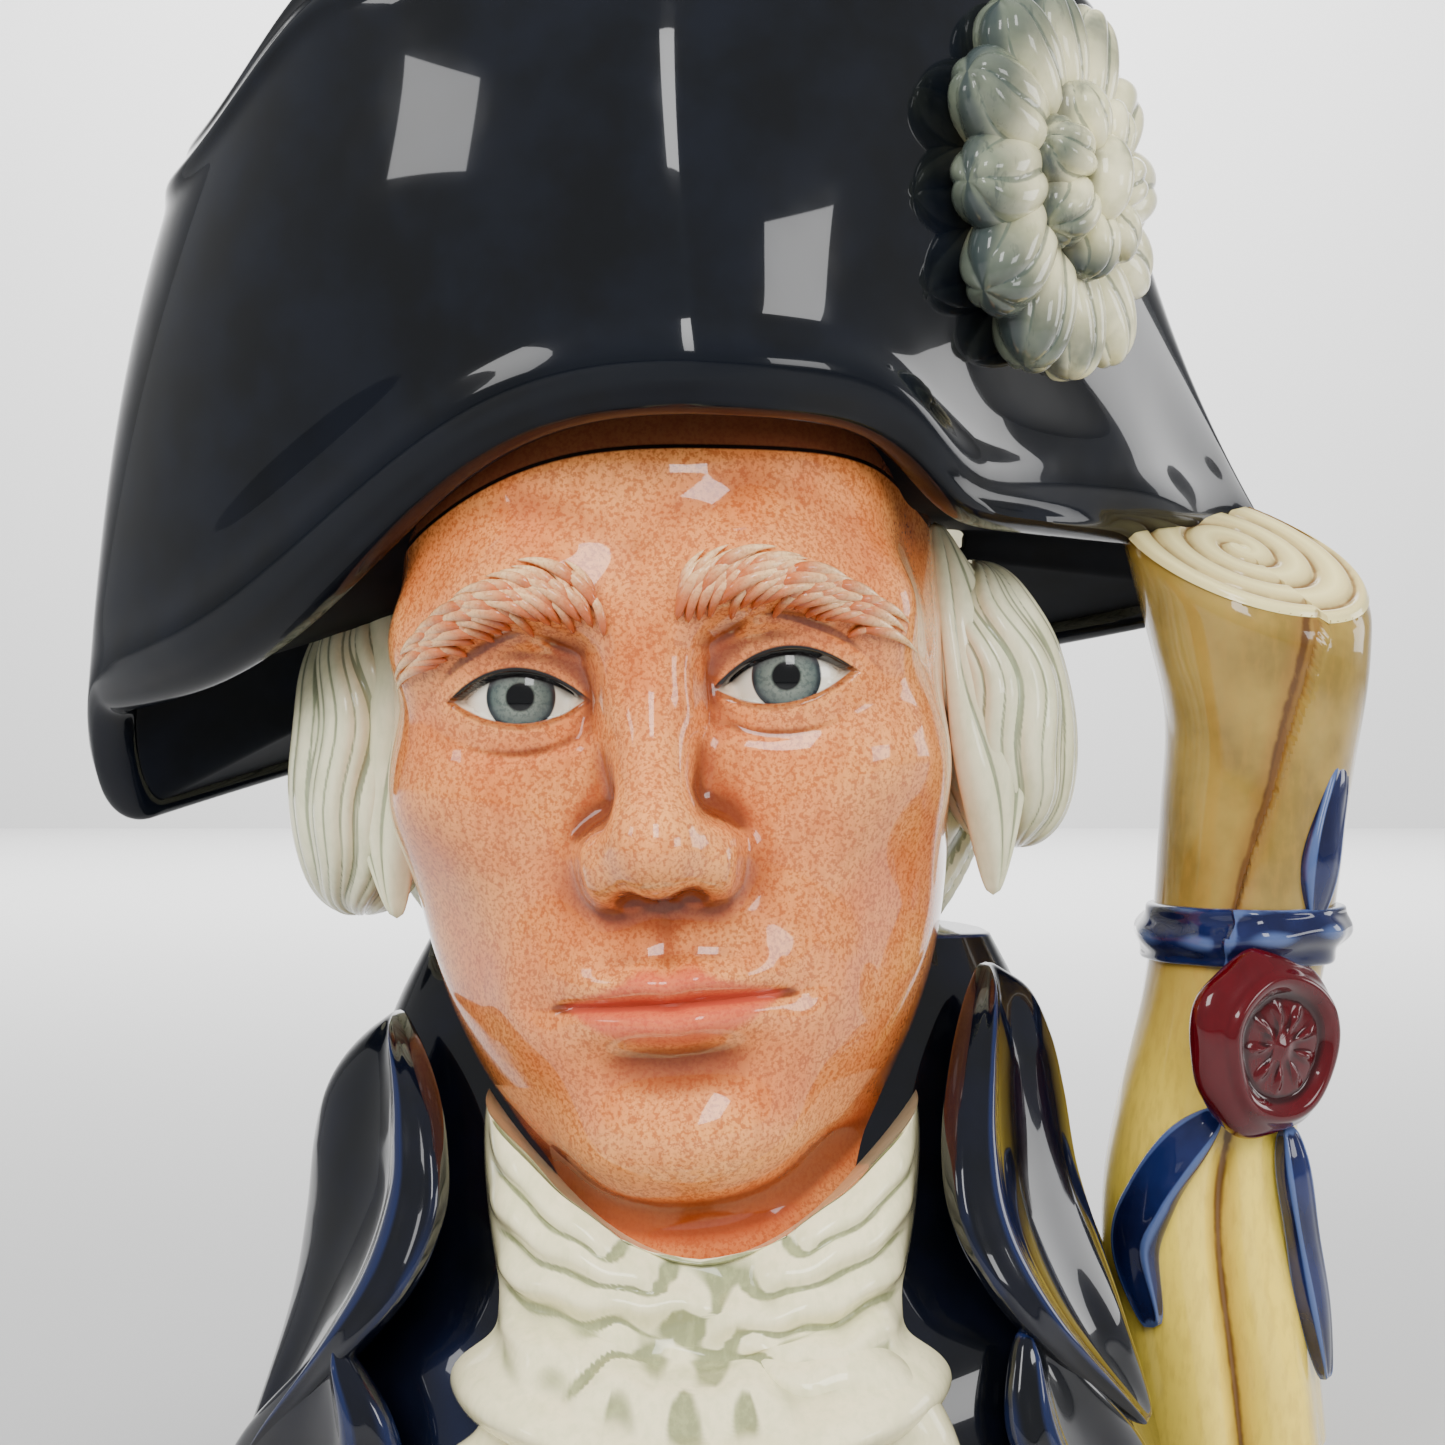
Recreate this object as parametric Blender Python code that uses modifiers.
"""A glazed earthenware character jug: a bust in a cocked hat, with a sealed scroll for its handle.

It is one slip-cast piece, hollow, and open at the top of the hat. Metres, +Z up. The face looks
along -Y, the scroll stands at +X, and the origin is on the table under the middle of the foot.
"""

import math

import bmesh
import bpy
import numpy as np

# Driving dimensions
JUG_HEIGHT = 0.191
WALL = 0.005
FLOOR = 0.006
COCKADE_WIDTH = 0.049
COCKADE_DEPTH = 0.009
SEAL_WIDTH = 0.024
SEAL_DEPTH = 0.005
RIBBON_WIDTH = 0.0075
RIBBON_RISE = 0.0025

# The bust is a free form, so its places are given in shares of its height, 191 from foot to rim
SHARES = 191.0
SHARE = JUG_HEIGHT / SHARES
WALL_SHARES = WALL / SHARE
FLOOR_SHARES = FLOOR / SHARE

# How far the forms reach below the table before the foot is cut flat
SUNK = 8.0
# The grain at which the forms are merged, and how many triangles their outside keeps
GRAIN = 0.0009
TRIANGLES = 8000

GLAZED_NAVY = (0.012, 0.016, 0.030, 1.0)

FRONT = -math.pi / 2


def mix(first, second, amount):
    """A value between two others."""
    return first + (second - first) * amount


def ease(low, high, value):
    """0 below low, 1 above high, and smooth between."""
    amount = np.clip((value - low) / (high - low), 0.0, 1.0)
    return amount * amount * (3.0 - 2.0 * amount)


def bump(value, middle, width):
    """1 at the middle, fading to nothing over about twice the width."""
    return np.exp(-(((value - middle) / width) ** 2))


def signed_power(value, power):
    """A power that keeps the sign, for rounded boxes and lens shapes."""
    return np.sign(value) * np.abs(value) ** power


def curve(at, *knots):
    """A smooth curve through knots of (place, value); a value is a number or a point."""
    places = np.array([place for place, _ in knots], float)
    values = np.array([value for _, value in knots], float)
    slopes = np.gradient(values, places, axis=0)
    at = np.clip(at, places[0], places[-1])
    start = np.clip(np.searchsorted(places, at) - 1, 0, len(places) - 2)
    span = places[start + 1] - places[start]
    s = (at - places[start]) / span
    if values.ndim == 2:
        s = s[:, None]
        span = span[:, None]
    level = (1 + 2 * s) * (1 - s) ** 2 * values[start] + s * s * (3 - 2 * s) * values[start + 1]
    lean = s * (1 - s) ** 2 * slopes[start] + s * s * (s - 1) * slopes[start + 1]
    return level + span * lean


def stack(x, y, z):
    """Three columns of coordinates as one array of points."""
    return np.column_stack(np.broadcast_arrays(x, y, z))


def form(name, around, along, place, collection):
    """A closed form: a ball whose vertices go where place puts their turn and rise.

    The turn runs from -pi to pi with the front at -pi / 2, and the rise from 0 at the bottom
    pole to 1 at the top one. place gives points in shares of the jug's height.
    """
    mesh = bpy.data.meshes.new(name)
    shape = bmesh.new()
    bmesh.ops.create_uvsphere(shape, u_segments=around, v_segments=along, radius=1.0)
    points = np.array([vertex.co for vertex in shape.verts])
    turn = np.arctan2(points[:, 1], points[:, 0])
    rise = 1.0 - np.arccos(np.clip(points[:, 2], -1.0, 1.0)) / math.pi
    for vertex, point in zip(shape.verts, place(turn, rise) * SHARE):
        vertex.co = point
    if shape.calc_volume(signed=True) < 0:
        bmesh.ops.reverse_faces(shape, faces=shape.faces)
    shape.to_mesh(mesh)
    shape.free()
    mesh.shade_smooth()
    mesh.set_sharp_from_angle(angle=math.radians(40))
    made = bpy.data.objects.new(name, mesh)
    collection.objects.link(made)
    return made


# Hat

HAT_LEFT = -80.5
HAT_RIGHT = 82.5
HAT_MIDDLE = 2.0
RIM_LEFT = -66.0
RIM_RIGHT = 54.5
RIM_MIDDLE = -2.0
LIP_ROLL = 3.2
RIM_ROLL = 0.45 * WALL_SHARES
CROWN_LOW = 112.0


def hat_plan(turn, height, inset):
    """The hat's outline at a height from 0 at the lip to 1 at the rim: a lens with blunt ends."""
    east = np.cos(turn)
    south = -np.sin(turn)
    rightness = ease(-0.2, 1.0, east)
    tip_inset = 1.8 * inset
    lip_reach = np.where(east > 0, HAT_RIGHT - HAT_MIDDLE, HAT_MIDDLE - HAT_LEFT) - tip_inset
    lip_x = HAT_MIDDLE + lip_reach * signed_power(east, 1.3)
    tip_y = mix(3.0, 20.0, rightness)
    blunt = 5.0 * south / np.sqrt(south * south + 0.03) * (1 - inset / 12)
    lip_depth = np.where(south > 0, 56.0 + 9.0 * rightness, 43.0 - 8.0 * rightness) - inset
    lip_y = tip_y - blunt - lip_depth * signed_power(south, mix(2.0, 3.0, rightness))
    rim_reach = np.where(east > 0, RIM_RIGHT - RIM_MIDDLE, RIM_MIDDLE - RIM_LEFT) - inset
    rim_x = RIM_MIDDLE + rim_reach * signed_power(east, np.where(south > 0, 1.15, 1.0))
    rim_y = -4.0 - (46.5 - 1.1 * inset) * signed_power(south, np.where(south > 0, 1.25, 1.0))
    # The right side sweeps out to its tip low down, and the left side falls almost straight
    hold = (1 - height) ** mix(0.9, 1.85, rightness)
    swell = np.sin(np.pi * height) * mix(3.5, 1.0, rightness)
    x = mix(rim_x, lip_x, hold) + swell * east * 0.7
    y = mix(rim_y, lip_y, hold) - swell * south
    return x, y


def lip_height(turn):
    """The lip arches over the brow, dips to both tips, and runs lower at the back."""
    east = np.cos(turn)
    south = -np.sin(turn)
    away = np.abs(east) ** 1.3 * np.where(east > 0, HAT_RIGHT - HAT_MIDDLE, HAT_MIDDLE - HAT_LEFT)
    left_front = 135.0 - 30.0 * (1 - np.exp(-((away / 48.0) ** 3))) - 3.0 * (away / 80.0) ** 2
    right_front = 135.0 - 10.5 * (1 - np.exp(-((away / 29.0) ** 6)))
    front = np.where(east < 0, left_front, right_front)
    back_tip = np.where(east < 0, 86.7, 117.5)
    back = mix(back_tip, 106.0, np.clip(-south, 0, 1) ** 2)
    return mix(back, front, ease(-0.22, 0.22, south))


def rim_height(turn):
    """The rim is nearly level, but falls away at its left end and a little at the back."""
    east = np.cos(turn)
    left_fall = 14.0 * ease(0.64, 0.97, -east)
    return 186.4 + 1.6 * east - left_fall - 2.5 * np.sin(turn)


def place_hat(turn, rise):
    """Underside, rolled lip, side and rim, from the bottom pole to the top one."""
    height = np.clip((rise - 0.26) / 0.62, 0, 1)
    x, y = hat_plan(turn, height, 0.0)
    z = mix(lip_height(turn), rim_height(turn), height)
    # The lip is a half round, from the side to the underside
    roll = np.clip((0.28 - rise) / 0.12, 0, 1) * np.pi
    inward = LIP_ROLL * (1 - np.cos(roll)) / np.hypot(x, y)
    z = z - LIP_ROLL * np.sin(roll) * 0.9
    under = ease(0.0, 0.16, 0.16 - rise)
    # The rim is a half round too, then the top closes over
    over = np.clip((rise - 0.88) / 0.08, 0, 1) * np.pi / 2
    inward = inward + RIM_ROLL * (1 - np.cos(over)) / np.hypot(x, y)
    z = z + RIM_ROLL * np.sin(over)
    top = ease(0.955, 1.0, rise)
    shrink = (1 - inward) * (1 - under) * (1 - top)
    return stack(x * shrink, y * shrink, mix(z, 124.0, under))


def place_hat_hollow(turn, rise):
    """The hat's inside, one wall within its side, run out through the top."""
    lip = lip_height(turn)
    low = np.maximum(lip, CROWN_LOW) + WALL_SHARES + 4.0
    z = mix(low, SHARES + 14.0, ease(0.06, 0.94, rise))
    height = np.clip((z - lip) / (rim_height(turn) - lip), 0, 1)
    x, y = hat_plan(turn, height, WALL_SHARES)
    floor = ease(0.0, 0.12, rise)
    shut = floor * (rise < 0.999)
    return stack(x * shut, y * shut, mix(np.where(rise < 0.5, 116.0, z), z, shut))


# Head

HEAD_HEIGHT = 118.0
HEAD_ROLL = math.radians(-4.5)
HEAD_YAW = math.radians(-3.0)
CHIN = (3.0, 0.0, 43.0)
RAY_AXIS_Y = -10.0
EYE_SPACING = 15.5
EYE_HALF_WIDTH = 7.8
EYE_BALL = 9.0
EYE_BALL_Y = -33.4
EYE_LINE = 59.0
BROW_LINE = 68.5
NOSE_BASE = 35.0
MOUTH_LINE = 23.5
MOUTH_HALF_WIDTH = 13.0


# Half widths, and depths before the face's middle, at heights above the chin
HEAD_WIDTHS = (
    (-3, 9), (0, 15), (4, 20), (10, 25), (20, 30),
    (32, 33.2), (46, 34.8), (60, 35.2), (80, 35), (98, 32),
)
HEAD_FRONT = (
    (-3, 22), (0, 29), (4, 34), (10, 36), (24, 37.3),
    (42, 37.5), (56, 36.6), (68, 38.4), (84, 38), (98, 34),
)


def ball(p, middle, radii):
    """Distance to an egg, near enough for blending."""
    q = (p - np.array(middle)) / np.array(radii)
    near = np.linalg.norm(q, axis=1)
    steep = np.maximum(np.linalg.norm(q / np.array(radii), axis=1), 1e-6)
    return near * (near - 1) / steep


def rod(p, start, end, start_radius, end_radius):
    """Distance to a round rod that tapers."""
    start = np.array(start)
    run = np.array(end) - start
    share = np.clip((p - start) @ run / (run @ run), 0, 1)
    return np.linalg.norm(p - start - share[:, None] * run, axis=1) - mix(
        start_radius, end_radius, share
    )


def join(first, second, soft):
    """Two distances as one form, with a soft fillet between."""
    share = np.clip(0.5 + 0.5 * (second - first) / soft, 0, 1)
    return mix(second, first, share) - soft * share * (1 - share)


def hollow(body, taken, soft):
    """A form with another taken out of it, with a soft edge."""
    return -join(-body, taken, soft)


def oval(p, middle_y, half_width, front, back):
    """Distance to an upright column whose half width and depths are given for each point."""
    depth = np.where(p[:, 1] < middle_y, front, back)
    boxy = 2.35
    across = np.abs(p[:, 0] / half_width) ** boxy
    along = np.abs((p[:, 1] - middle_y) / depth) ** boxy
    return ((across + along) ** (1 / boxy) - 1) * np.minimum(half_width, depth)


def eye_gap(x, z):
    """Distance outside the almond between the lids; it is below 0 where the eye shows."""
    aside = (np.abs(x) - EYE_SPACING) / EYE_HALF_WIDTH
    arch = 1 - aside * aside
    slant = 0.5 * aside
    upper = z - (EYE_LINE + slant + 3.3 * np.maximum(arch, -1.0))
    lower = (EYE_LINE + slant - 2.6 * arch) - z
    return np.maximum(upper, lower)


def head_distance(p):
    """Distance to the head, from the chin at 0 to the crown at HEAD_HEIGHT."""
    p = p.copy()
    p[:, 0] = np.abs(p[:, 0])
    x, z = p[:, 0], p[:, 2]
    half_width = curve(z, *HEAD_WIDTHS)
    front = curve(z, *HEAD_FRONT)
    head = oval(p, RAY_AXIS_Y + 2, half_width, front, 50.0)
    head = np.where(z < -3, 30.0, head)
    head = join(head, rod(p, (0, -9, -24), (0, -12, 10), 27.5, 24), 3)
    # Cheekbones, chin, the flat of the cheek below, and the temples
    head = join(head, ball(p, (21, -28, 48.5), (11, 12, 9)), 10)
    head = join(head, ball(p, (0, -38.2, 8.0), (11.5, 8.8, 7.6)), 7)
    head = hollow(head, ball(p, (36, -43, 30), (8, 10, 12)), 11)
    head = hollow(head, ball(p, (40, -30, 76), (6, 12, 9)), 10)
    # Brow ridge and eye sockets
    head = join(head, rod(p, (0, -42.0, BROW_LINE - 2.0), (13, -41.6, BROW_LINE + 0.5), 3.6, 4.0), 11)
    head = join(head, rod(p, (13, -41.6, BROW_LINE + 0.5), (26, -34.6, BROW_LINE - 2), 4.0, 3.0), 11)
    head = hollow(head, ball(p, (EYE_SPACING + 0.5, -49.8, EYE_LINE + 1.0), (10.8, 8.4, 6.4)), 5)
    head = hollow(head, ball(p, (7.6, -49.8, EYE_LINE + 1), (3.0, 6.5, 5)), 5)
    # Eyeball and lids, with a crease over the upper one
    eye = ball(p, (EYE_SPACING, EYE_BALL_Y, EYE_LINE), (EYE_BALL, EYE_BALL, EYE_BALL))
    lids = ball(p, (EYE_SPACING, EYE_BALL_Y, EYE_LINE), (10.6, EYE_BALL + 1.15, 9.9))
    head = join(head, lids, 2.4)
    aside = (x - EYE_SPACING) / EYE_HALF_WIDTH
    above = (p - np.array((EYE_SPACING, -41.5, EYE_LINE))) @ np.array((0.0, 0.35, 1.0))
    fold = above - 6.3 + 2.2 * aside * aside
    near_eye = bump(aside, 0.0, 0.95)
    head = head + 0.55 * near_eye * bump(fold, 0.0, 0.75)
    head = head + 0.25 * near_eye * bump(z, EYE_LINE - 6.0 + 1.6 * aside * aside, 0.9)
    opening = eye_gap(x, z)
    deep = np.where(p[:, 1] < -24, opening, 20.0)
    head = join(hollow(head, deep, 0.9), eye, 0.25)
    head = join(head, ball(p, (8.4, -40.0, EYE_LINE - 0.9), (1.5, 1.7, 1.2)), 0.8)
    # Nose
    head = join(head, rod(p, (0, -42.2, EYE_LINE + 7), (0, -52.6, NOSE_BASE + 9), 3.4, 4.0), 8)
    head = join(head, ball(p, (0, -53.0, NOSE_BASE + 5.6), (4.9, 5.6, 4.8)), 5)
    head = join(head, ball(p, (6.4, -47.6, NOSE_BASE + 4.0), (3.3, 5.2, 3.7)), 4.5)
    head = hollow(head, ball(p, (3.3, -51.4, NOSE_BASE - 0.2), (2.0, 3.2, 1.7)), 1.4)
    # Muzzle and the hollow under the lower lip
    head = join(head, ball(p, (0, -36.6, MOUTH_LINE + 1), (17, 10.6, 12)), 7)
    crease = rod(p, (12.0, -49.4, NOSE_BASE + 3), (18.0, -45.4, MOUTH_LINE + 1), 1.2, 0.8)
    head = hollow(head, crease, 5)
    head = hollow(head, ball(p, (0, -50.9, MOUTH_LINE - 8.0), (10.0, 3.6, 3.2)), 6)
    return head


def lip_relief(x, z):
    """How far the lips stand out: two soft rolls that meet in a line and fade at the corners."""
    x = np.abs(x)
    fade = ease(MOUTH_HALF_WIDTH + 1.0, MOUTH_HALF_WIDTH - 8.0, x)
    line = MOUTH_LINE - 0.02 * x - 0.35 * bump(x, 0.0, 2.2)
    upper = bump(z, line + 2.5, 1.9) * (1.6 + 0.5 * bump(x, 2.8, 2.2)) * fade
    lower = bump(z, line - 2.7, 2.3) * 2.3 * ease(MOUTH_HALF_WIDTH, 2.0, x)
    philtrum = 0.5 * bump(x, 0.0, 1.9) * bump(z, MOUTH_LINE + 7.5, 3.4)
    parting = 1.5 * bump(z, line, 0.75) * ease(MOUTH_HALF_WIDTH + 2.0, MOUTH_HALF_WIDTH - 2.0, x)
    corner = 0.9 * bump(x, MOUTH_HALF_WIDTH + 0.8, 2.6) * bump(z, line, 2.6)
    return upper + lower - philtrum - parting - corner


def turned(points):
    """Head coordinates to the jug's: rolled towards -X, turned a little, and set on the neck."""
    yaw_cos, yaw_sin = math.cos(HEAD_YAW), math.sin(HEAD_YAW)
    roll_cos, roll_sin = math.cos(HEAD_ROLL), math.sin(HEAD_ROLL)
    x = points[:, 0] * yaw_cos - points[:, 1] * yaw_sin
    y = points[:, 0] * yaw_sin + points[:, 1] * yaw_cos
    z = points[:, 2]
    return stack(x * roll_cos + z * roll_sin, y, z * roll_cos - x * roll_sin) + np.array(CHIN)


def place_head(turn, rise):
    """Rays from an upright axis meet the face; more of them run forward than back."""
    forward = np.arctan2(np.sin(turn - FRONT), np.cos(turn - FRONT))
    angle = FRONT + forward - 0.5 * np.sin(forward)
    z = mix(-24.0, 96.0, rise)
    ray = stack(np.cos(angle), np.sin(angle), 0.0)
    start = stack(0.0, RAY_AXIS_Y, z)
    reach = np.full(len(turn), 72.0)
    for _ in range(24):
        reach = np.maximum(reach - 0.95 * head_distance(start + ray * reach[:, None]), 0.0)
    points = start + ray * reach[:, None]
    points[:, 1] -= lip_relief(points[:, 0], points[:, 2]) * (points[:, 1] < RAY_AXIS_Y)
    poles = (rise < 0.001) | (rise > 0.999)
    points[poles, :2] = (0.0, RAY_AXIS_Y)
    return turned(points)


def place_head_hollow(turn, rise):
    """A smooth well inside the head and neck, from the coat's hollow up into the hat's."""
    z = mix(20.0, 176.0, rise)
    half_width = curve(z, (20, 25), (45, 26), (62, 30), (90, 36), (120, 36.5), (176, 31)) - WALL_SHARES
    front = curve(z, (20, 29), (45, 31), (60, 36), (90, 37), (108, 35), (125, 32), (176, 27)) - WALL_SHARES
    back = curve(z, (20, 35), (45, 36), (90, 42), (130, 41), (176, 34)) - WALL_SHARES
    shut = np.where((rise < 0.001) | (rise > 0.999), 0.0, 1.0)
    x = mix(3.0, -5.0, (z - 43) / HEAD_HEIGHT) + half_width * np.cos(turn) * shut
    y = np.where(np.sin(turn) < 0, front, back) * np.sin(turn) * shut
    return stack(x, y, z)


# Coat, collar and lapels


def coat_plan(turn, z, inset):
    """The coat's outline at a height: a broad oval that narrows to the neck."""
    half_width = curve(z, (-8, 60), (0, 60), (22, 54), (44, 46.5), (60, 42), (72, 36)) - inset
    front = curve(z, (-8, 50), (0, 50), (24, 48), (42, 40), (58, 26), (72, 12)) - inset
    back = curve(z, (-8, 46), (0, 46), (30, 44), (52, 40), (72, 34)) - inset
    x = 3.0 + half_width * signed_power(np.cos(turn), 0.86)
    y = np.where(np.sin(turn) < 0, front, back) * signed_power(np.sin(turn), 0.86)
    return x, y


def place_coat(turn, rise):
    z = curve(rise, (0, -SUNK), (0.08, -SUNK), (0.5, 34), (0.9, 70), (1, 72))
    x, y = coat_plan(turn, z, 0.0)
    shut = ease(0.0, 0.06, rise) * ease(0.0, 0.1, 1 - rise)
    return stack(mix(3.0, x, shut), y * shut, z)


def place_stand(turn, rise):
    """The coat's stand-up collar, round the sides and back of the neck; its front is inside the jaw."""
    height = np.clip((rise - 0.08) / 0.72, 0, 1)
    top = 60.5 + 3.5 * np.cos(turn) + 7.0 * np.clip(np.sin(turn), 0, 1)
    over = np.clip((rise - 0.8) / 0.1, 0, 1) * np.pi
    inset = 2.0 * (1 - np.cos(over))
    z = mix(38.0, top, height) + 2.0 * np.sin(over) - 7.0 * np.clip((rise - 0.9) / 0.05, 0, 1)
    half_width = mix(37.5, 41.0, height) - inset
    depth = np.where(np.sin(turn) < 0, 20.0, mix(38.0, 42.5, height) - inset)
    shut = ease(0.0, 0.08, rise) * ease(1.0, 0.95, rise)
    return stack(2.0 + half_width * np.cos(turn) * shut, depth * np.sin(turn) * shut, z)


def place_coat_hollow(turn, rise):
    z = curve(rise, (0, FLOOR_SHARES), (0.08, FLOOR_SHARES), (0.5, 34), (0.92, 60), (1, 62))
    x, y = coat_plan(turn, z, WALL_SHARES)
    shut = ease(0.0, 0.12, rise) * ease(0.0, 0.25, 1 - rise)
    return stack(mix(3.0, x, shut), y * shut, z)


def strap(path, width, thickness, axis, ends=0.5):
    """A flat strip along a path of points, facing away from an upright axis at (x, y)."""
    steps = np.linspace(0, 1, len(path))

    def place(turn, rise):
        middle = curve(rise, *zip(steps, path))
        onward = curve(np.clip(rise + 0.02, 0, 1), *zip(steps, path))
        onward = onward - curve(np.clip(rise - 0.02, 0, 1), *zip(steps, path))
        onward /= np.linalg.norm(onward, axis=1)[:, None]
        out = middle * (1, 1, 0) - np.array((axis[0], axis[1], 0.0))
        out -= onward * np.sum(out * onward, axis=1)[:, None]
        out /= np.linalg.norm(out, axis=1)[:, None]
        across = np.cross(out, onward)
        shut = np.sin(np.pi * np.clip(rise, 0, 1)) ** ends
        half_width = curve(rise, *zip(np.linspace(0, 1, len(width)), width)) / 2
        side = signed_power(np.cos(turn), 0.8) * half_width * shut
        lift = signed_power(np.sin(turn), 0.8) * thickness / 2 * shut
        return middle + across * side[:, None] + out * lift[:, None]

    return place


def leaf(outer, inner, thickness, turn_out):
    """A rolled leaf of cloth between two edges, thickest along both of them."""
    steps = np.linspace(0, 1, len(outer))
    inner_steps = np.linspace(0, 1, len(inner))

    def place(turn, rise):
        outside = curve(rise, *zip(steps, outer))
        inside = curve(rise, *zip(inner_steps, inner))
        share = 0.5 + 0.5 * signed_power(np.cos(turn), 0.8)
        shut = np.sin(np.pi * np.clip(rise, 0, 1)) ** 0.4
        middle = (outside + inside) / 2
        spot = mix(inside, outside, share[:, None])
        spot = mix(middle, spot, shut[:, None])
        out = spot * (1, 1, 0)
        out /= np.linalg.norm(out, axis=1)[:, None]
        edges = 1.0 + turn_out * (2 * share - 1) ** 2
        lift = signed_power(np.sin(turn), 0.8) * thickness / 2 * shut * edges
        return spot + out * lift[:, None]

    return place


LEFT_COLLAR_OUTER = (
    (-38, -10, 61.5), (-42.5, -14, 56.5), (-45.5, -16, 52), (-46.5, -18, 40),
    (-48.5, -20, 28), (-52, -24, 16), (-56, -26, 4),
)
LEFT_COLLAR_INNER = (
    (-36, -22, 61.5), (-30.5, -34, 57), (-28, -38, 52), (-27.5, -42, 42),
    (-31, -45, 33), (-40, -42, 22), (-53, -32, 8),
)
RIGHT_COLLAR_OUTER = (
    (39, -10, 67.5), (43.5, -13, 62), (45.5, -15, 55), (47, -17, 45),
    (50.5, -19, 34), (55, -22, 24), (58.5, -22, 14),
)
RIGHT_COLLAR_INNER = (
    (36, -20, 67.5), (32, -31, 60.5), (30, -38, 53), (30, -42, 43),
    (33.5, -44, 33), (41, -41, 22), (54, -31, 10),
)
LEFT_LAPEL_OUTER = ((-45, -36, 24), (-52, -30, 14), (-57, -25, 4), (-60, -21, -5))
LEFT_LAPEL_INNER = ((-37, -43, 27), (-33, -46, 18), (-32, -46, 8), (-33, -46, -5))
RIGHT_LAPEL_OUTER = ((45, -36, 25), (53, -30, 14), (58, -25, 4), (62, -21, -5))
RIGHT_LAPEL_INNER = ((36, -43, 29), (37, -45, 18), (41, -44, 8), (46, -41, -5))


def add_coat(forms):
    """The coat's body, its stand-up collar, and the collar's and lapels' leaves."""
    form("coat", 64, 30, place_coat, forms)
    form("collar stand", 64, 40, place_stand, forms)
    form("collar left", 28, 30, leaf(LEFT_COLLAR_OUTER, LEFT_COLLAR_INNER, 5.5, 0.5), forms)
    form("collar right", 28, 30, leaf(RIGHT_COLLAR_OUTER, RIGHT_COLLAR_INNER, 5.5, 0.5), forms)
    form("lapel left", 20, 16, leaf(LEFT_LAPEL_OUTER, LEFT_LAPEL_INNER, 5, 0.3), forms)
    form("lapel right", 20, 16, leaf(RIGHT_LAPEL_OUTER, RIGHT_LAPEL_INNER, 5, 0.3), forms)


# Neckcloth


def place_band(turn, rise):
    """The neckcloth's band: its top edge dips in a V under the chin."""
    wide = curve(rise, (0, 0.0), (0.1, 0.95), (0.35, 1.0), (0.7, 1.06), (0.82, 1.0), (1, 0.0))
    front = curve(rise, (0, 0.0), (0.1, 33.0), (0.45, 32.5), (0.7, 28.5), (0.82, 27.0), (1, 0.0))
    x = 25.0 * signed_power(np.cos(turn), 0.7) * wide
    top = 36.4 + 15.0 * (np.abs(x) / 25.0) ** 1.4
    z = mix(10.0, top, np.clip(rise / 0.7, 0, 1)) + 1.5 * bump(rise, 0.75, 0.12)
    y = -17.0 + np.where(np.sin(turn) < 0, front, 22.0 * wide) * signed_power(np.sin(turn), 0.55)
    return stack(1.5 + x, y, z)


def place_lobe(middle, radii, lean):
    """A gathered lobe of the jabot, with its folds spreading from the knot."""

    def place(turn, rise):
        up = -np.cos(np.pi * rise)
        out = np.sin(np.pi * rise) ** 0.8
        x = middle[0] + radii[0] * out * np.cos(turn) + lean * up
        y = middle[1] + radii[1] * out * np.sin(turn)
        return stack(x, y, middle[2] + radii[2] * up)

    return place


def add_neckcloth(forms):
    form("neckcloth band", 48, 24, place_band, forms)
    form("jabot left", 32, 20, place_lobe((-15, -47, 12), (13, 9, 15), 3), forms)
    form("jabot right", 32, 20, place_lobe((18, -47, 12), (12, 9, 15), -3), forms)
    for side in (-3.0, 1.5, 6.0):
        path = ((side * 0.7 + 1.0, -44, 29), (side, -51, 18), (side * 1.3, -52, -SUNK))
        form("jabot pleat", 12, 10, strap(path, (3, 4.5, 5), 5, (side, 0)), forms)


# Wig


def place_hair(turn, rise):
    """The wig's mass, drawn back from the face under the hat."""
    z = mix(56.0, 128.0, rise)
    half_width = curve(z, (56, 30), (66, 38), (80, 42), (95, 44), (128, 41))
    back = curve(z, (56, 22), (70, 28), (90, 31), (128, 28))
    front = curve(z, (56, 22), (75, 29), (95, 31), (128, 28))
    shut = np.sin(np.pi * np.clip(rise, 0, 1)) ** 0.3
    x = mix(0.5, -5.0, (z - 56) / 72) + half_width * np.cos(turn) * shut
    y = 14.0 + np.where(np.sin(turn) < 0, front, back) * np.sin(turn) * shut
    return stack(x, y, z)


LEFT_STRANDS_OUTER = ((-44, -6, 118), (-45, -8, 104), (-43, -10, 90), (-38, -13, 73))
LEFT_STRANDS_INNER = ((-35, -12, 118), (-34.5, -16, 104), (-34.5, -17, 88), (-36, -15, 73))
RIGHT_STRANDS_OUTER = ((34, -6, 124), (41, -8, 108), (43, -10, 94), (40, -13, 76))
RIGHT_STRANDS_INNER = ((30, -12, 124), (33, -16, 106), (35, -17, 92), (38, -15, 76))
QUEUE = ((0, 38, 94), (0, 45, 78), (0, 48.5, 60), (0, 49, 46), (0, 46, 34))
QUEUE_WIDTHS = (12, 13, 14.5, 14, 12)


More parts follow.
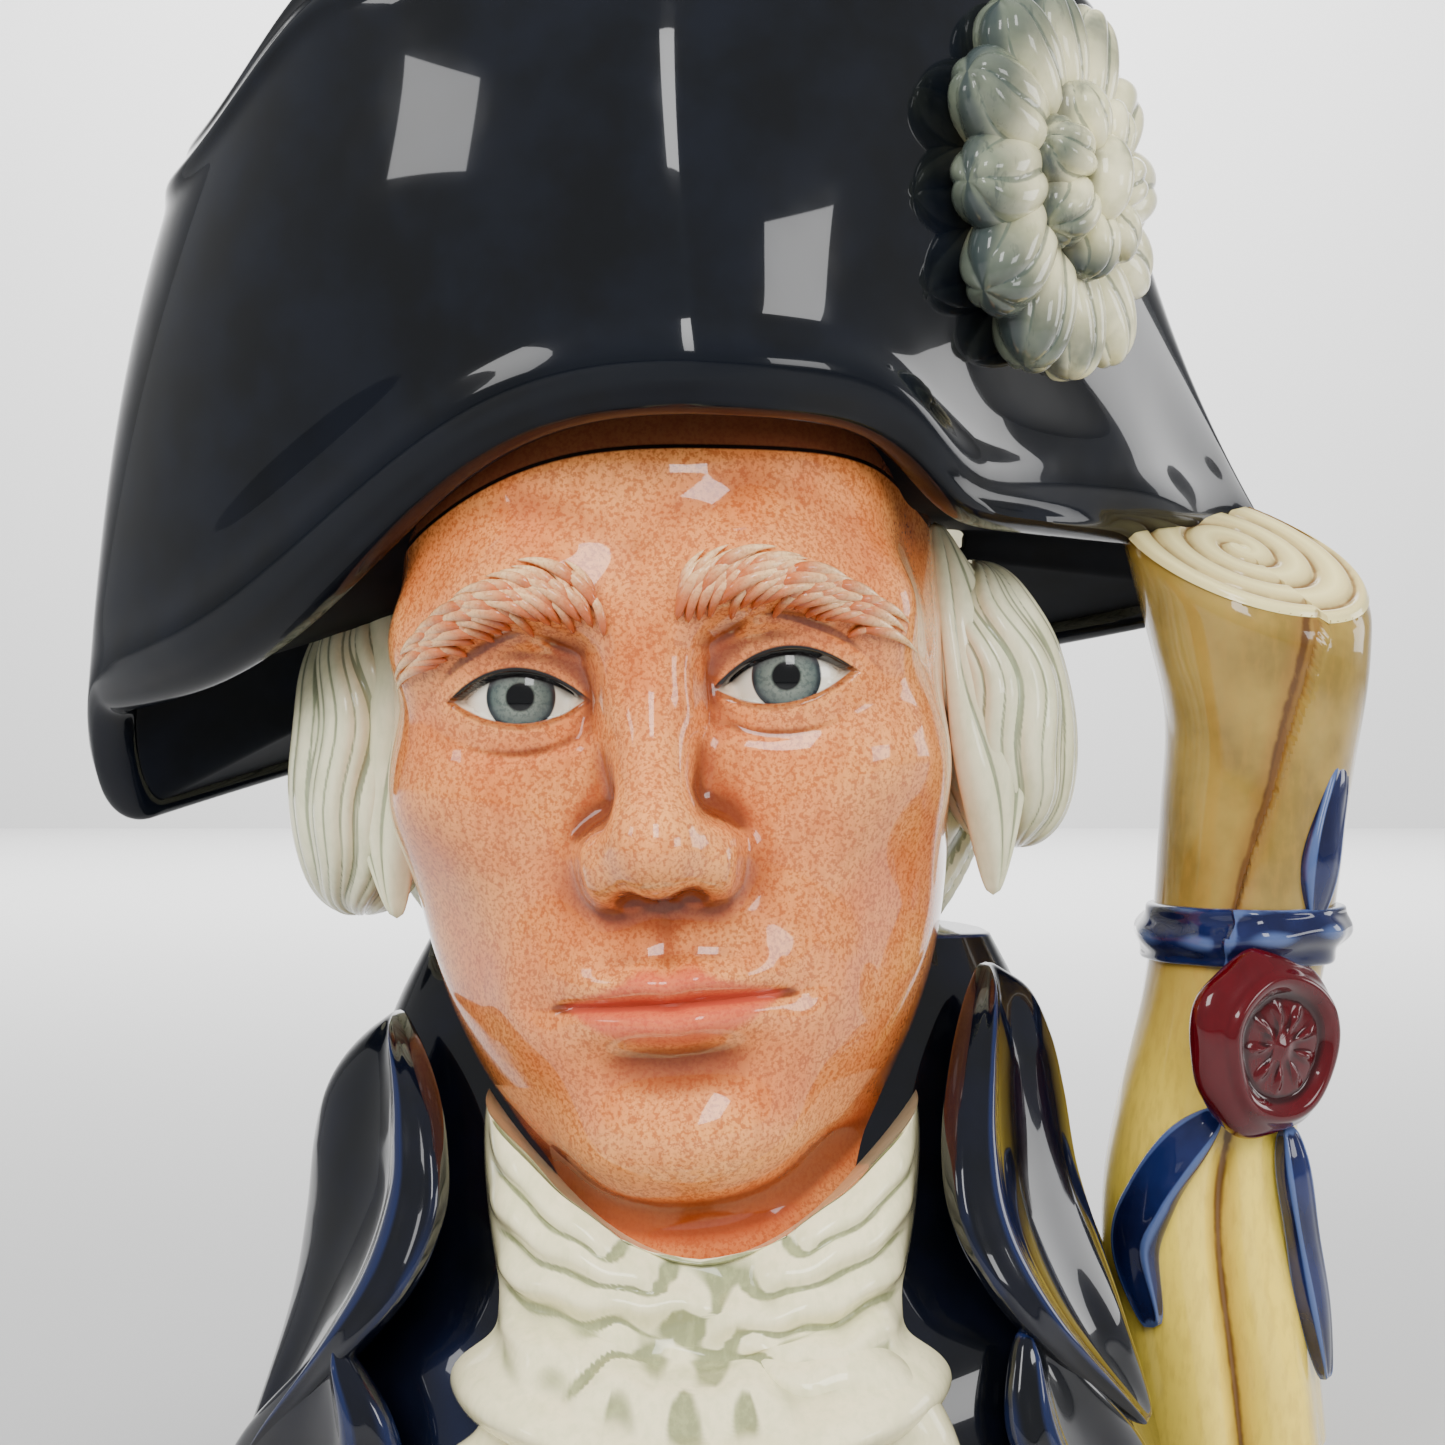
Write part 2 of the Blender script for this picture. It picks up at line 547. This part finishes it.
def add_wig(forms):
    form("hair", 64, 28, place_hair, forms)
    form("roll left", 28, 20, place_lobe((-42.5, 0, 94.0), (10, 17, 21.5), 1), forms)
    form("roll right", 28, 20, place_lobe((40, 0, 100.5), (10.5, 17, 19), -3), forms)
    form("strands left", 16, 16, leaf(LEFT_STRANDS_OUTER, LEFT_STRANDS_INNER, 6, 0.0), forms)
    form("strands right", 16, 16, leaf(RIGHT_STRANDS_OUTER, RIGHT_STRANDS_INNER, 6, 0.0), forms)
    form("queue", 20, 16, strap(QUEUE, QUEUE_WIDTHS, 12, (0, 0), 0.35), forms)
    for side in (-1, 1):
        form("queue bow", 16, 12, place_lobe((side * 8, 47, 72), (9, 5, 5), side), forms)


# Scroll handle

SCROLL_FOOT = 4.0
SCROLL_TOP = 121.5
# The scroll's two sides as the front shows them, at heights above the table
SCROLL_LEFT = (
    (4, 57.5), (36, 55.6), (45, 57.5), (58, 60.8), (82, 63), (94, 63.4), (105, 60.8), (118, 57.2)
)
SCROLL_RIGHT = ((4, 84.6), (16, 83.6), (42, 80.7), (75, 85.6), (94, 87.9), (107, 89.6), (118, 89.8))


def scroll_section(turn, z):
    """The rolled sheet at a height: its free edge makes a step, and its lower end fans out."""
    left = curve(z, *SCROLL_LEFT)
    right = curve(z, *SCROLL_RIGHT)
    half_depth = curve(z, (4, 14), (40, 12.5), (75, 12), (95, 12.3), (118, 14))
    edge = curve(z, (4, -1.75), (81, -1.8), (95, -1.55), (122, -0.95))
    past = np.mod(turn - edge, 2 * np.pi)
    step = 1.3 * (1 - ease(0.0, 2.4, past)) * ease(60, 84, z)
    crease = -3.0 * bump(turn, -1.55, 0.17) * ease(52, 36, z)
    flare = 3.2 * bump(turn, -1.0, 0.28) * ease(50, 5, z)
    half_width = (right - left) / 2 + step + crease + flare * 0.4
    depth = half_depth + step + crease + flare
    return (left + right) / 2 + half_width * np.cos(turn), depth * np.sin(turn)


def scroll_top(x, y):
    """The rolled end slopes to the front and to the right."""
    return SCROLL_TOP + 0.6 * y - 0.26 * (x - 73.5)


def place_scroll(turn, rise):
    height = np.clip((rise - 0.05) / 0.88, 0, 1)
    x, y = scroll_section(turn, mix(SCROLL_FOOT, 118.0, height))
    shut = np.clip(rise / 0.04, 0, 1) * np.clip((1 - rise) / 0.06, 0, 1)
    x = mix(mix(71.0, 73.5, height), x, shut)
    y = y * shut
    return stack(x, y, mix(SCROLL_FOOT, scroll_top(x, y), height))


def place_ring(turn, rise):
    """The ribbon where it goes round the scroll."""
    middle_z = 70.3
    half = RIBBON_WIDTH / SHARE / 2
    z = middle_z - half * np.cos(np.pi * rise)
    x, y = scroll_section(turn, z)
    proud = RIBBON_RISE / SHARE * np.sin(np.pi * rise) ** 0.5
    inward = np.where((rise < 0.001) | (rise > 0.999), 0.0, 1.0)
    x = 73.8 + (x - 73.8) * (1 + proud / 12.0) * inward
    y = y * (1 + proud / 12.0) * inward
    return stack(x, y, z)


SEAL_MIDDLE = (72.4, -12.0, 57.2)
SEAL_FACING = math.radians(-52)
COCKADE_MIDDLE = (44.5, -23.5, 164.0)
COCKADE_FACING = math.radians(-34)


def facing(points, middle, angle):
    """Points of a disc made face up: turned to face a plan angle, and moved to their place."""
    along = np.array((math.cos(angle), math.sin(angle), 0.0))
    across = np.array((-math.sin(angle), math.cos(angle), 0.0))
    up = np.array((0.0, 0.0, 1.0))
    return np.array(middle) + points[:, :1] * across + points[:, 1:2] * up + points[:, 2:] * along


def place_seal(turn, rise):
    """A blob of wax with an uneven edge and a pressed middle."""
    radius = SEAL_WIDTH / SHARE / 2 * (1 + 0.05 * np.sin(3 * turn + 0.6) + 0.03 * np.sin(5 * turn))
    out = radius * np.sin(np.pi * rise) ** 0.6
    depth = SEAL_DEPTH / SHARE
    lift = depth * (0.5 - 0.5 * np.cos(np.pi * rise)) - 1.2 * bump(out, 0.0, radius * 0.55) * (rise > 0.5)
    return facing(stack(out * np.cos(turn), out * np.sin(turn), lift - 1.0), SEAL_MIDDLE, SEAL_FACING)


def add_scroll(forms):
    form("scroll", 72, 48, place_scroll, forms)
    form("ribbon round", 48, 8, place_ring, forms)
    upper = ((84.0, -8.5, 95), (82.4, -9.5, 88), (80.6, -10.5, 80), (80.4, -10.5, 73))
    left_tail = ((68, -12, 48), (63.5, -11.5, 43), (60, -10, 37), (58, -9, 30), (60, -11, 20))
    right_tail = ((77, -11.5, 46), (78.5, -11.5, 36), (80.3, -10.5, 25), (82.5, -10, 13))
    form("ribbon upper", 12, 12, strap(upper, (3, 4, 4, 5), 3.5, (73, 0)), forms)
    form("ribbon left tail", 12, 16, strap(left_tail, (5, 6, 6.5, 6.5, 4), 3.5, (71, 0)), forms)
    form("ribbon right tail", 12, 12, strap(right_tail, (4, 4, 3.5, 3), 3.5, (70, 0)), forms)
    form("seal", 36, 16, place_seal, forms)


def place_petal(angle, start, end, width, height):
    """One petal of the cockade, a rounded leaf that stands up from the disc."""

    def place(turn, rise):
        out = mix(start, end, 0.5 - 0.5 * np.cos(np.pi * rise))
        across = width / 2 * np.sin(np.pi * rise) ** 0.7 * np.cos(turn)
        lift = height * np.sin(np.pi * rise) ** 0.7 * np.sin(turn)
        x = out * math.cos(angle) - across * math.sin(angle)
        y = out * math.sin(angle) + across * math.cos(angle)
        return facing(stack(x, y, lift + 1.5), COCKADE_MIDDLE, COCKADE_FACING)

    return place


def add_cockade(forms):
    radius = COCKADE_WIDTH / SHARE / 2
    depth = COCKADE_DEPTH / SHARE
    outer_petals = 11
    inner_petals = 7
    for petal in range(outer_petals):
        angle = 2 * math.pi * (petal + 0.3) / outer_petals
        place = place_petal(angle, radius * 0.28, radius, radius * 0.58, depth * 0.5)
        form("cockade petal", 14, 10, place, forms)
    for petal in range(inner_petals):
        angle = 2 * math.pi * petal / inner_petals
        place = place_petal(angle, radius * 0.05, radius * 0.48, radius * 0.38, depth * 0.85)
        form("cockade inner petal", 12, 8, place, forms)
    form("cockade boss", 12, 8, place_petal(0.3, -radius * 0.15, radius * 0.2, radius * 0.3, depth), forms)


# The jug


def new_collection(name, hidden):
    made = bpy.data.collections.new(name)
    bpy.context.scene.collection.children.link(made)
    made.hide_render = hidden
    return made


def glaze():
    """A dark, wet-looking glaze, the colour of most of the jug."""
    material = bpy.data.materials.new("glazed earthenware")
    material.use_nodes = True
    shader = material.node_tree.nodes["Principled BSDF"]
    shader.inputs["Base Color"].default_value = GLAZED_NAVY
    shader.inputs["Roughness"].default_value = 0.12
    shader.inputs["Metallic"].default_value = 0.0
    return material


def add_table_cutter(collection):
    """A block whose top is the table, to cut the foot flat."""
    bpy.ops.mesh.primitive_cube_add(size=1.0)
    block = bpy.context.object
    block.name = "table cutter"
    for vertex in block.data.vertices:
        vertex.co.x *= 2 * JUG_HEIGHT
        vertex.co.y *= 2 * JUG_HEIGHT
        vertex.co.z = (vertex.co.z - 0.5) * JUG_HEIGHT / 4
    for owner in block.users_collection:
        owner.objects.unlink(block)
    collection.objects.link(block)


def fused(forms, collection):
    """All the forms as one body: their skins are merged as wet clay would be, then thinned out."""
    together = bmesh.new()
    for piece in list(forms.objects):
        together.from_mesh(piece.data)
        bpy.data.objects.remove(piece)
    mesh = bpy.data.meshes.new("jug")
    together.to_mesh(mesh)
    together.free()
    jug = bpy.data.objects.new("jug", mesh)
    collection.objects.link(jug)
    merge = jug.modifiers.new("merge", "REMESH")
    merge.mode = "VOXEL"
    merge.voxel_size = GRAIN
    soften = jug.modifiers.new("soften", "SMOOTH")
    soften.iterations = 2
    whole = jug.evaluated_get(bpy.context.evaluated_depsgraph_get())
    jug.data = bpy.data.meshes.new_from_object(whole)
    jug.modifiers.clear()
    jug.data.calc_loop_triangles()
    thin = jug.modifiers.new("thin out", "DECIMATE")
    thin.ratio = TRIANGLES / len(jug.data.loop_triangles)
    return jug


def cut(target, name, collection):
    modifier = target.modifiers.new(name, "BOOLEAN")
    modifier.operation = "DIFFERENCE"
    modifier.operand_type = "COLLECTION"
    modifier.collection = collection
    modifier.solver = "EXACT"
    for cutter in collection.objects:
        cutter.hide_render = True
        cutter.display_type = "WIRE"


def main():
    for old in list(bpy.data.objects):
        bpy.data.objects.remove(old)
    jug_collection = new_collection("character jug", False)
    forms = new_collection("forms", True)
    hollows = new_collection("hollows", True)
    table = new_collection("table", True)

    form("hat", 120, 60, place_hat, forms)
    form("head", 110, 84, place_head, forms)
    add_coat(forms)
    add_neckcloth(forms)
    add_wig(forms)
    add_scroll(forms)
    add_cockade(forms)
    jug = fused(forms, jug_collection)
    jug.data.materials.append(glaze())

    form("hat hollow", 48, 10, place_hat_hollow, hollows)
    form("head hollow", 24, 10, place_head_hollow, hollows)
    form("coat hollow", 24, 8, place_coat_hollow, hollows)
    add_table_cutter(table)
    cut(jug, "hollow", hollows)
    cut(jug, "foot", table)


main()
